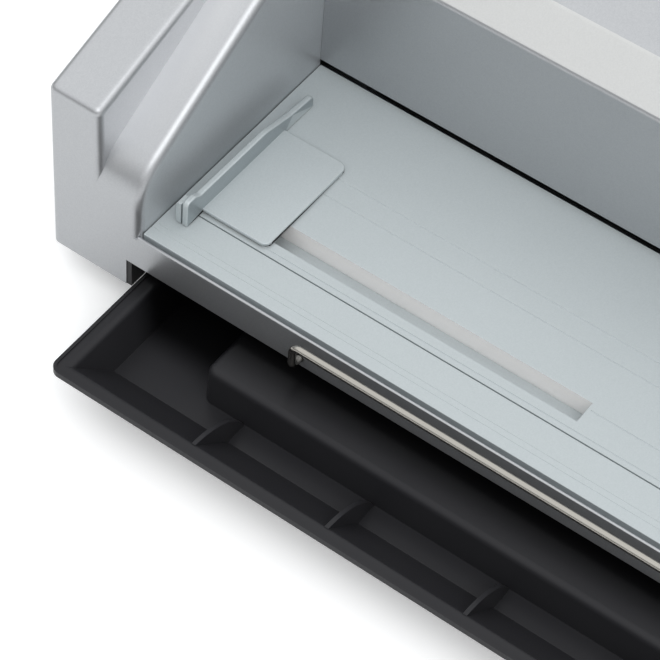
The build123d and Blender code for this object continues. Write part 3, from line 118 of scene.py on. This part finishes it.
def sprayed_silver(name, dark, pale, rough=0.4, metal=0.85, painted_sheen=None):
    """Silver lacquer sprayed over moulded ABS: fine aluminium flake under a slight orange peel.

    With a sheen colour, the coat gets paler over the ramp's width, up to the foot of the step:
    a painted highlight.
    """
    material, tree, place = start(name)
    flake = add(tree, "ShaderNodeTexVoronoi", {"Vector": place, "Scale": per_mm(FLAKE)})
    drift = add(tree, "ShaderNodeTexNoise",
                {"Vector": place, "Scale": per_mm(COAT_CLOUDS), "Detail": 3.0})
    blend = add(tree, "ShaderNodeMix",
                {0: 0.35, 2: flake.outputs["Color"], 3: drift.outputs["Fac"]}, data_type="FLOAT")
    tint = add(tree, "ShaderNodeMix",
               {"Factor": blend.outputs[0], 6: linear(dark), 7: linear(pale)}, data_type="RGBA")
    colour = tint.outputs[2]
    if painted_sheen:
        across = add(tree, "ShaderNodeSeparateXYZ", {0: place}).outputs["X"]
        out = add(tree, "ShaderNodeMath", {0: across}, operation="ABSOLUTE")
        share = add(tree, "ShaderNodeMapRange",
                    {"Value": out.outputs[0], "From Min": RAMP_IN, "From Max": RAMP_OUT,
                     "To Max": SHEEN_SHARE})
        rise = add(tree, "ShaderNodeSeparateXYZ", {0: place}).outputs["Z"]
        above = add(tree, "ShaderNodeMapRange",
                    {"Value": rise, "From Min": BED_TOP + SHEEN_FROM,
                     "From Max": BED_TOP + SHEEN_TO}, interpolation_type="SMOOTHSTEP")
        held = add(tree, "ShaderNodeMath",
                   {0: share.outputs[0], 1: above.outputs[0]}, operation="MULTIPLY")
        colour = add(tree, "ShaderNodeMix",
                     {"Factor": held.outputs[0], 6: colour, 7: linear(painted_sheen)},
                     data_type="RGBA").outputs[2]
    peel = add(tree, "ShaderNodeTexNoise",
               {"Vector": place, "Scale": per_mm(ORANGE_PEEL), "Detail": 2.0})
    skin = add(tree, "ShaderNodeBump",
               {"Height": peel.outputs["Fac"], "Strength": 0.05, "Distance": 0.03 * MM})
    gloss = add(tree, "ShaderNodeMapRange",
                {"Value": drift.outputs["Fac"], "To Min": rough - 0.03, "To Max": rough + 0.03})
    finish_shader(tree, {"Base Color": colour, "Metallic": metal, "Roughness": gloss.outputs[0],
                         "Normal": skin.outputs["Normal"]})
    return material


def satin_metal(name, dark, pale, rough, stretch=(1, 1, 1), grain=0.5, depth=0.01):
    """Bare or plated metal with a fine rolled, drawn or ground grain.

    The grain runs the way it is stretched. Its width and depth are in mm.
    """
    material, tree, place = start(name)
    run = add(tree, "ShaderNodeMapping", {"Vector": place, "Scale": stretch})
    lines = add(tree, "ShaderNodeTexNoise",
                {"Vector": run.outputs[0], "Scale": per_mm(grain), "Detail": 4.0})
    drift = add(tree, "ShaderNodeTexNoise",
                {"Vector": place, "Scale": per_mm(METAL_CLOUDS), "Detail": 2.0})
    mixed = add(tree, "ShaderNodeMix",
                {0: 0.5, 2: lines.outputs["Fac"], 3: drift.outputs["Fac"]}, data_type="FLOAT")
    tint = add(tree, "ShaderNodeMix",
               {"Factor": mixed.outputs[0], 6: linear(dark), 7: linear(pale)}, data_type="RGBA")
    gloss = add(tree, "ShaderNodeMapRange",
                {"Value": lines.outputs["Fac"], "To Min": rough - 0.05, "To Max": rough + 0.05})
    skin = add(tree, "ShaderNodeBump",
               {"Height": lines.outputs["Fac"], "Strength": 0.08, "Distance": depth * MM})
    finish_shader(tree, {"Base Color": tint.outputs[2], "Metallic": 1.0,
                         "Roughness": gloss.outputs[0], "Normal": skin.outputs["Normal"]})
    return material


def moulded(name, dark, pale, rough, grain=0.6, depth=0.02, ior=1.5, painted_shade=None):
    """Moulded plastic or rubber: an even fine grain and a faint drift of colour.

    With a shade colour, the piece has that colour behind the front rail, a painted shadow, and
    fades to the others in front of it.
    """
    material, tree, place = start(name)
    pits = add(tree, "ShaderNodeTexNoise",
               {"Vector": place, "Scale": per_mm(grain), "Detail": 3.0, "Roughness": 0.6})
    drift = add(tree, "ShaderNodeTexNoise",
                {"Vector": place, "Scale": per_mm(MOULDED_CLOUDS), "Detail": 3.0})
    tint = add(tree, "ShaderNodeMix",
               {"Factor": drift.outputs["Fac"], 6: linear(dark), 7: linear(pale)},
               data_type="RGBA")
    colour = tint.outputs[2]
    if painted_shade:
        along = add(tree, "ShaderNodeSeparateXYZ", {0: place}).outputs["Y"]
        share = add(tree, "ShaderNodeMapRange",
                    {"Value": along, "From Min": RAIL_FRONT - SHADE_FROM,
                     "From Max": RAIL_FRONT - SHADE_TO}, interpolation_type="SMOOTHSTEP")
        colour = add(tree, "ShaderNodeMix",
                     {"Factor": share.outputs[0], 6: colour, 7: linear(painted_shade)},
                     data_type="RGBA").outputs[2]
    gloss = add(tree, "ShaderNodeMapRange",
                {"Value": pits.outputs["Fac"], "To Min": rough - 0.06, "To Max": rough + 0.06})
    skin = add(tree, "ShaderNodeBump",
               {"Height": pits.outputs["Fac"], "Strength": 0.25, "Distance": depth * MM})
    finish_shader(tree, {"Base Color": colour, "Roughness": gloss.outputs[0], "IOR": ior,
                         "Normal": skin.outputs["Normal"]})
    return material


# Covers: ABS sprayed with silver lacquer, which makes each face a soft mirror of what is
# before it.
cover_silver = sprayed_silver("sprayed silver lacquer", "#B0B2B5", "#BEC0C2", 0.36, 0.82)
# Lip over the throat: the same lacquer drawn paler, warmer and flatter than on the covers: a
# painted highlight.
lip_silver = sprayed_silver("silver lacquer with painted highlight", "#C9CAC9", "#D2D3D2", 0.5, 0.3)
# Walls beside the bed: the same lacquer, less of a mirror than on the covers, so that they show
# lighter: painted light over their shade.
wall_silver = sprayed_silver("silver lacquer with painted light on the walls", "#B2B6B9", "#BFC3C6", 0.42, 0.55)
# Ramps: the same lacquer, drawn paler in the valley at the foot of the step, a painted highlight.
ramp_silver = sprayed_silver("silver lacquer with painted sheen", "#B0B2B5", "#BEC0C2", 0.38, 0.8,
                             painted_sheen="#DBDCDE")
# Bed: sheet steel in a silver stove enamel, which scatters light evenly and shows little of
# what is round it. The channel in it is a little glossier, with a bright wall at the back.
bed_enamel = sprayed_silver("silver stove enamel", "#AFB7B9", "#BAC1C3", 0.45, 0.12)
slot_enamel = sprayed_silver("silver enamel in the channel", "#B4BBBD", "#BEC5C7", 0.42, 0.35)
slot_edge = sprayed_silver("bright enamel on the channel wall", "#F6F3F1", "#FBF9F8", 0.5, 0.0)
# Edge guide: moulded ABS in the same silver, a little paler and smoother. The fence's face is
# darker and more of a mirror: painted shade.
guide_silver = sprayed_silver("pale silver lacquer", "#B6BEC0", "#C2C9CB", 0.4, 0.3)
fence_silver = sprayed_silver("silver lacquer with painted shade on the fence", "#A2AAAD", "#AEB5B8", 0.38, 0.75)
# Front of the rail: the enamel again, darker than on the bed and half way to a mirror, so that it
# shows lighter: painted light.
rail_silver = sprayed_silver("rail enamel with painted light", "#A2AAAD", "#AEB5B8", 0.42, 0.55)
# Under the plate's front edge: a painted shadow in black, which shows only as a dark line.
shadow_line_black = moulded("black painted shadow", "#0D0D0D", "#131313", 0.9, 0.4, 0.05)
# Support wire: drawn steel wire, bright nickel-chrome plated.
plated_wire = satin_metal("bright chrome plate", "#A9A69F", "#B5B2AB", 0.2, (0.2, 1, 1), 4.0, 0.001)
# Tray: black polystyrene from a spark-eroded tool, drawn greyer in front of the rail and deep
# black under it, where the rail's shadow is painted.
tray_black = moulded("grained black polystyrene", "#262629", "#2C2C2E", 0.32, 0.7, 0.008, 1.28,
                     painted_shade="#09090A")
# Other mouldings: runners and inlet in plain ABS, buttons and switch polished, feet in rubber.
runner_black = moulded("moulded black ABS", "#18181A", "#1E1E20", 0.5, 0.8, 0.02)
glossy_black = moulded("polished black ABS", "#121213", "#171718", 0.2, 1.2, 0.004)
foot_rubber = moulded("black rubber", "#161616", "#1C1B1B", 0.75, 0.9, 0.04, 1.52)
# Sliding and drive pieces: unpigmented nylon and acetal, waxy and off-white.
natural_nylon = moulded("natural nylon", "#D8D5C8", "#E2DFD3", 0.45, 0.9, 0.01, 1.53)
white_acetal = moulded("natural acetal", "#D2D0C6", "#DDDBD2", 0.35, 0.9, 0.01, 1.48)
# Controls and electrics: matt film, a clear green lens, solder mask, epoxy and varnish.
panel_film = moulded("grey polyester film", "#3A3D40", "#424548", 0.55, 0.35, 0.01, 1.57)
green_lens = moulded("green acrylic lens", "#1C6B32", "#267A3D", 0.15, 1.5, 0.002, 1.49)
board_green = moulded("green solder mask", "#0E4A2A", "#135533", 0.3, 2.0, 0.005, 1.55)
part_black = moulded("black epoxy moulding", "#1B1B1D", "#232325", 0.55, 0.5, 0.01, 1.55)
core_varnish = moulded("varnished laminations", "#3B362F", "#474138", 0.5, 0.5, 0.02, 1.5)
# Frame metals: zinc-plated sheet, ground tool steel, sintered bronze and die-cast alloy, each
# with the grain its making leaves.
zinc_sheet = satin_metal("zinc-plated steel", "#A3A6A8", "#B5B8BA", 0.32, (1, 1, 1), 3.0, 0.005)
ground_steel = satin_metal("ground tool steel", "#8E9092", "#9C9EA0", 0.28, (0.05, 1, 1), 0.4,
                           0.006)
bush_bronze = satin_metal("sintered bronze", "#8F7040", "#A5824C", 0.45, (1, 1, 1), 0.5, 0.01)
cast_alloy = satin_metal("die-cast zinc alloy", "#8C8F92", "#9A9DA0", 0.5, (1, 1, 1), 1.2, 0.03)

FINISHES = {
    cover_silver: ["housing", "head_cover", "rear_cover"],
    bed_enamel: ["bed_front_strip", "bed_plate"],
    slot_enamel: ["guide_channel"],
    guide_silver: ["edge_guide"],
    plated_wire: ["support_wire"],
    tray_black: ["chip_tray"],
    runner_black: ["left_tray_runner", "right_tray_runner", "power_inlet", "switch_frame"],
    glossy_black: ["power_switch", "punch_button", "reverse_button"],
    foot_rubber: ["feet"],
    natural_nylon: ["guide_slider", "wire_guides", "board_standoffs"],
    white_acetal: ["drive_gear", "stroke_cam"],
    panel_film: ["control_panel"],
    green_lens: ["ready_lamp"],
    board_green: ["control_board"],
    part_black: ["limit_switch", "board_parts", "button_switches"],
    core_varnish: ["transformer"],
    bush_bronze: ["beam_bushes", "left_bearing", "right_bearing"],
    cast_alloy: ["gearbox"],
    ground_steel: ["die_block", "throat_spacers", "pin_guide_bar", "guide_posts", "punch_pins",
                   "pin_retainer", "punch_beam", "left_yoke", "right_yoke", "drive_shaft",
                   "left_eccentric", "right_eccentric", "motor_pinion"],
    zinc_sheet: ["base_pan", "cover_screws", "guide_screws", "wire_collars", "left_side_frame",
                 "right_side_frame", "depth_stop", "bar_screws", "frame_screws",
                 "retainer_screws", "yoke_screws", "motor_body", "motor_bracket",
                 "motor_screws"],
}

for finish, names in FINISHES.items():
    for name in names:
        NODES[name].data.materials.clear()
        NODES[name].data.materials.append(finish)


def refinish(name, finish, chosen):
    """Gives the faces of a node that pass the test a finish of their own."""
    mesh = NODES[name].data
    mesh.materials.append(finish)
    for face in mesh.polygons:
        if chosen(face):
            face.material_index = len(mesh.materials) - 1


# The sloping band along the head's front edge, with its painted highlight.
refinish("head_cover", lip_silver,
         lambda face: face.normal.y < -0.6 and 0.6 < face.normal.z < 0.8)
# The two walls that stand at the ends of the bed, with their painted light.
refinish("housing", wall_silver,
         lambda face: abs(face.normal.x) > 0.98 and abs(abs(face.center.x) - RAMP_IN) < MM)
# The sloping ramps between those walls and the steps, with their painted highlight.
refinish("housing", ramp_silver,
         lambda face: 0.02 < face.normal.z < 0.9 and face.normal.y < -0.4
         and RAMP_IN < abs(face.center.x) < RAMP_OUT and face.center.z > BED_TOP)
# The rail's front, with its painted light.
refinish("bed_front_strip", rail_silver, lambda face: face.normal.y < -0.9)
# The fence's face towards the sheets, with its painted shade, and the painted shadow under the
# plate's front edge.
refinish("edge_guide", fence_silver,
         lambda face: face.normal.x > 0.9 and face.center.z > BED_TOP + 2.5 * MM)
refinish("edge_guide", shadow_line_black,
         lambda face: face.center.z < BED_TOP + 1.01 * MM and face.normal.y < 0.5)
# The channel's rim, level with the bed, and its back wall.
refinish("guide_channel", bed_enamel,
         lambda face: face.normal.z > 0.9 and face.center.z > BED_TOP - 0.5 * MM)
refinish("guide_channel", slot_edge, lambda face: face.normal.y < -0.9)
bare = sorted(set(NODES) - {n for names in FINISHES.values() for n in names})
assert not bare, bare


# ---------------------------------------------------------------- support wire
def formed_wire():
    """The bent wire as one smooth tube: a ring pushed along each straight, spun round each bend.

    The left half is made so, then mirrored.
    """
    low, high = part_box("support_wire")
    radius, bend = WIRE_RADIUS, WIRE_BEND
    wire = bmesh.new()
    bmesh.ops.create_circle(wire, segments=WIRE_SIDES, radius=radius)
    face_front = Matrix.Rotation(math.radians(90), 3, "X")
    bmesh.ops.rotate(wire, verts=wire.verts, matrix=face_front)
    bmesh.ops.translate(wire, verts=wire.verts, vec=(low.x + radius, high.y, low.z + radius))
    ring = list(wire.edges)

    def push(ring, way):
        made = bmesh.ops.extrude_edge_only(wire, edges=ring)["geom"]
        points = [v for v in made if isinstance(v, bmesh.types.BMVert)]
        bmesh.ops.translate(wire, verts=points, vec=way)
        return [e for e in made if isinstance(e, bmesh.types.BMEdge)]

    def turn(ring, centre, axis):
        made = bmesh.ops.spin(wire, geom=ring, cent=centre, axis=axis,
                              angle=math.radians(90), steps=BEND_STEPS)
        return [e for e in made["geom_last"] if isinstance(e, bmesh.types.BMEdge)]

    x, y, z = low.x + radius, low.y + radius, low.z + radius
    top = high.z - radius
    ring = push(ring, (0, y + bend - high.y, 0))
    ring = turn(ring, (x, y + bend, z + bend), (-1, 0, 0))
    ring = push(ring, (0, 0, top - z - 2 * bend))
    ring = turn(ring, (x + bend, y, top - bend), (0, 1, 0))
    ring = push(ring, (-x - bend, 0, 0))
    half = list(wire.verts) + list(wire.edges) + list(wire.faces)
    bmesh.ops.mirror(wire, geom=half, axis="X", merge_dist=1e-6)
    bmesh.ops.remove_doubles(wire, verts=wire.verts, dist=1e-6)
    bmesh.ops.holes_fill(wire, edges=[e for e in wire.edges if e.is_boundary], sides=0)
    bmesh.ops.recalc_face_normals(wire, faces=wire.faces)
    mesh = bpy.data.meshes.new("formed_wire")
    wire.to_mesh(mesh)
    wire.free()
    mesh.shade_smooth()
    mesh.materials.append(plated_wire)
    piece = bpy.data.objects.new("formed_wire", mesh)
    bpy.context.scene.collection.objects.link(piece)
    return piece


wire_piece = formed_wire()
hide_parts("support_wire")
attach(wire_piece, "support_wire")


# ---------------------------------------------------------------- table, light and camera
TABLE_HALF = 4.0
TABLE_CLOUDS = 300
TABLE_LIFT = 0.25


def table_top():
    """A plain white table, wide enough to run out of every view."""
    shape = bmesh.new()
    bmesh.ops.create_grid(shape, x_segments=1, y_segments=1, size=TABLE_HALF)
    mesh = bpy.data.meshes.new("table_top")
    shape.to_mesh(mesh)
    shape.free()
    top = bpy.data.objects.new("table_top", mesh)
    bpy.context.scene.collection.objects.link(top)
    material, tree, place = start("white table")
    cloud = add(tree, "ShaderNodeTexNoise", {"Vector": place, "Scale": per_mm(TABLE_CLOUDS)})
    tint = add(tree, "ShaderNodeMix",
               {"Factor": cloud.outputs["Fac"], 6: linear("#F6F7F7"), 7: linear("#FAFAFA")},
               data_type="RGBA")
    seen = add(tree, "ShaderNodeLightPath").outputs["Is Camera Ray"]
    lift = add(tree, "ShaderNodeMath", {0: seen, 1: TABLE_LIFT}, operation="MULTIPLY")
    finish_shader(tree, {"Base Color": tint.outputs[2], "Roughness": 0.7,
                         "Emission Color": linear("#FFFFFF"),
                         "Emission Strength": lift.outputs[0]})
    mesh.materials.append(material)


def soft_box(name, aim, azimuth, elevation, distance, width, height, power):
    """A rectangular area light aimed at a point; azimuth 0 is the front, 90 the right."""
    data = bpy.data.lights.new(name, "AREA")
    data.shape = "RECTANGLE"
    data.size, data.size_y, data.energy = width, height, power
    lamp = bpy.data.objects.new(name, data)
    bpy.context.scene.collection.objects.link(lamp)
    a, e = math.radians(azimuth), math.radians(elevation)
    away = Vector((math.sin(a) * math.cos(e), -math.cos(a) * math.cos(e), math.sin(e)))
    lamp.location = aim + away * distance
    lamp.rotation_euler = away.to_track_quat("Z", "Y").to_euler()


def studio():
    """A tent of soft light, bright overhead, dim low down and brighter on the right, and a
    broad box in front and above.
    """
    world = bpy.data.worlds.new("studio")
    world.use_nodes = True
    tree = world.node_tree
    tree.nodes.clear()
    way = add(tree, "ShaderNodeTexCoord").outputs["Generated"]
    split = add(tree, "ShaderNodeSeparateXYZ", {0: way})
    height = add(tree, "ShaderNodeMapRange",
                 {"Value": split.outputs["Z"], "From Min": 0.05, "From Max": 0.75,
                  "To Min": 0.2, "To Max": 1.2}, interpolation_type="SMOOTHSTEP")
    side = add(tree, "ShaderNodeMapRange",
               {"Value": split.outputs["X"], "From Min": 0.2, "From Max": 0.9,
                "To Min": 0.0, "To Max": 0.25}, interpolation_type="SMOOTHSTEP")
    level = add(tree, "ShaderNodeMath", {0: height.outputs[0], 1: side.outputs[0]}, operation="ADD")
    tent = add(tree, "ShaderNodeBackground",
               {"Color": (0.985, 0.992, 1.0, 1), "Strength": level.outputs[0]})
    seen = add(tree, "ShaderNodeBackground", {"Color": (1, 1, 1, 1), "Strength": 1.0})
    eye = add(tree, "ShaderNodeLightPath").outputs["Is Camera Ray"]
    mixed = add(tree, "ShaderNodeMixShader", {0: eye, 1: tent.outputs[0], 2: seen.outputs[0]})
    add(tree, "ShaderNodeOutputWorld", {"Surface": mixed.outputs[0]})
    bpy.context.scene.world = world
    soft_box("key_box", Vector((0, 0, 0.05)), azimuth=40, elevation=56, distance=1.8,
             width=1.3, height=1.1, power=6.8)


# The camera aims at a point level with the bed, measured from the bed plate's front left corner.
AIM_RIGHT, AIM_FORWARD = 76.3 * MM, 13.4 * MM
EYE_AZIMUTH, EYE_ELEVATION, EYE_ROLL = 31.979, 51.046, 4.976
EYE_DISTANCE = 0.9454
LENS, SENSOR = 151.27, 36.0


def camera():
    """Looks down over the left end of the bed, a little tilted."""
    low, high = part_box("bed_plate")
    target = Vector((low.x + AIM_RIGHT, low.y - AIM_FORWARD, high.z))
    a, e, roll = [math.radians(angle) for angle in (EYE_AZIMUTH, EYE_ELEVATION, EYE_ROLL)]
    away = Vector((math.sin(a) * math.cos(e), -math.cos(a) * math.cos(e), math.sin(e)))
    side = Vector((math.cos(a), math.sin(a), 0))
    rise = away.cross(side)
    right = side * math.cos(roll) + rise * math.sin(roll)
    top = rise * math.cos(roll) - side * math.sin(roll)
    data = bpy.data.cameras.new("camera")
    data.sensor_width, data.lens = SENSOR, LENS
    data.clip_start, data.clip_end = 0.01, 50.0
    eye = bpy.data.objects.new("camera", data)
    bpy.context.scene.collection.objects.link(eye)
    turn = Matrix((right, top, away)).transposed().to_4x4()
    eye.matrix_world = Matrix.Translation(target + away * EYE_DISTANCE) @ turn
    bpy.context.scene.camera = eye


table_top()
studio()
camera()
bpy.context.scene.view_settings.view_transform = "Standard"
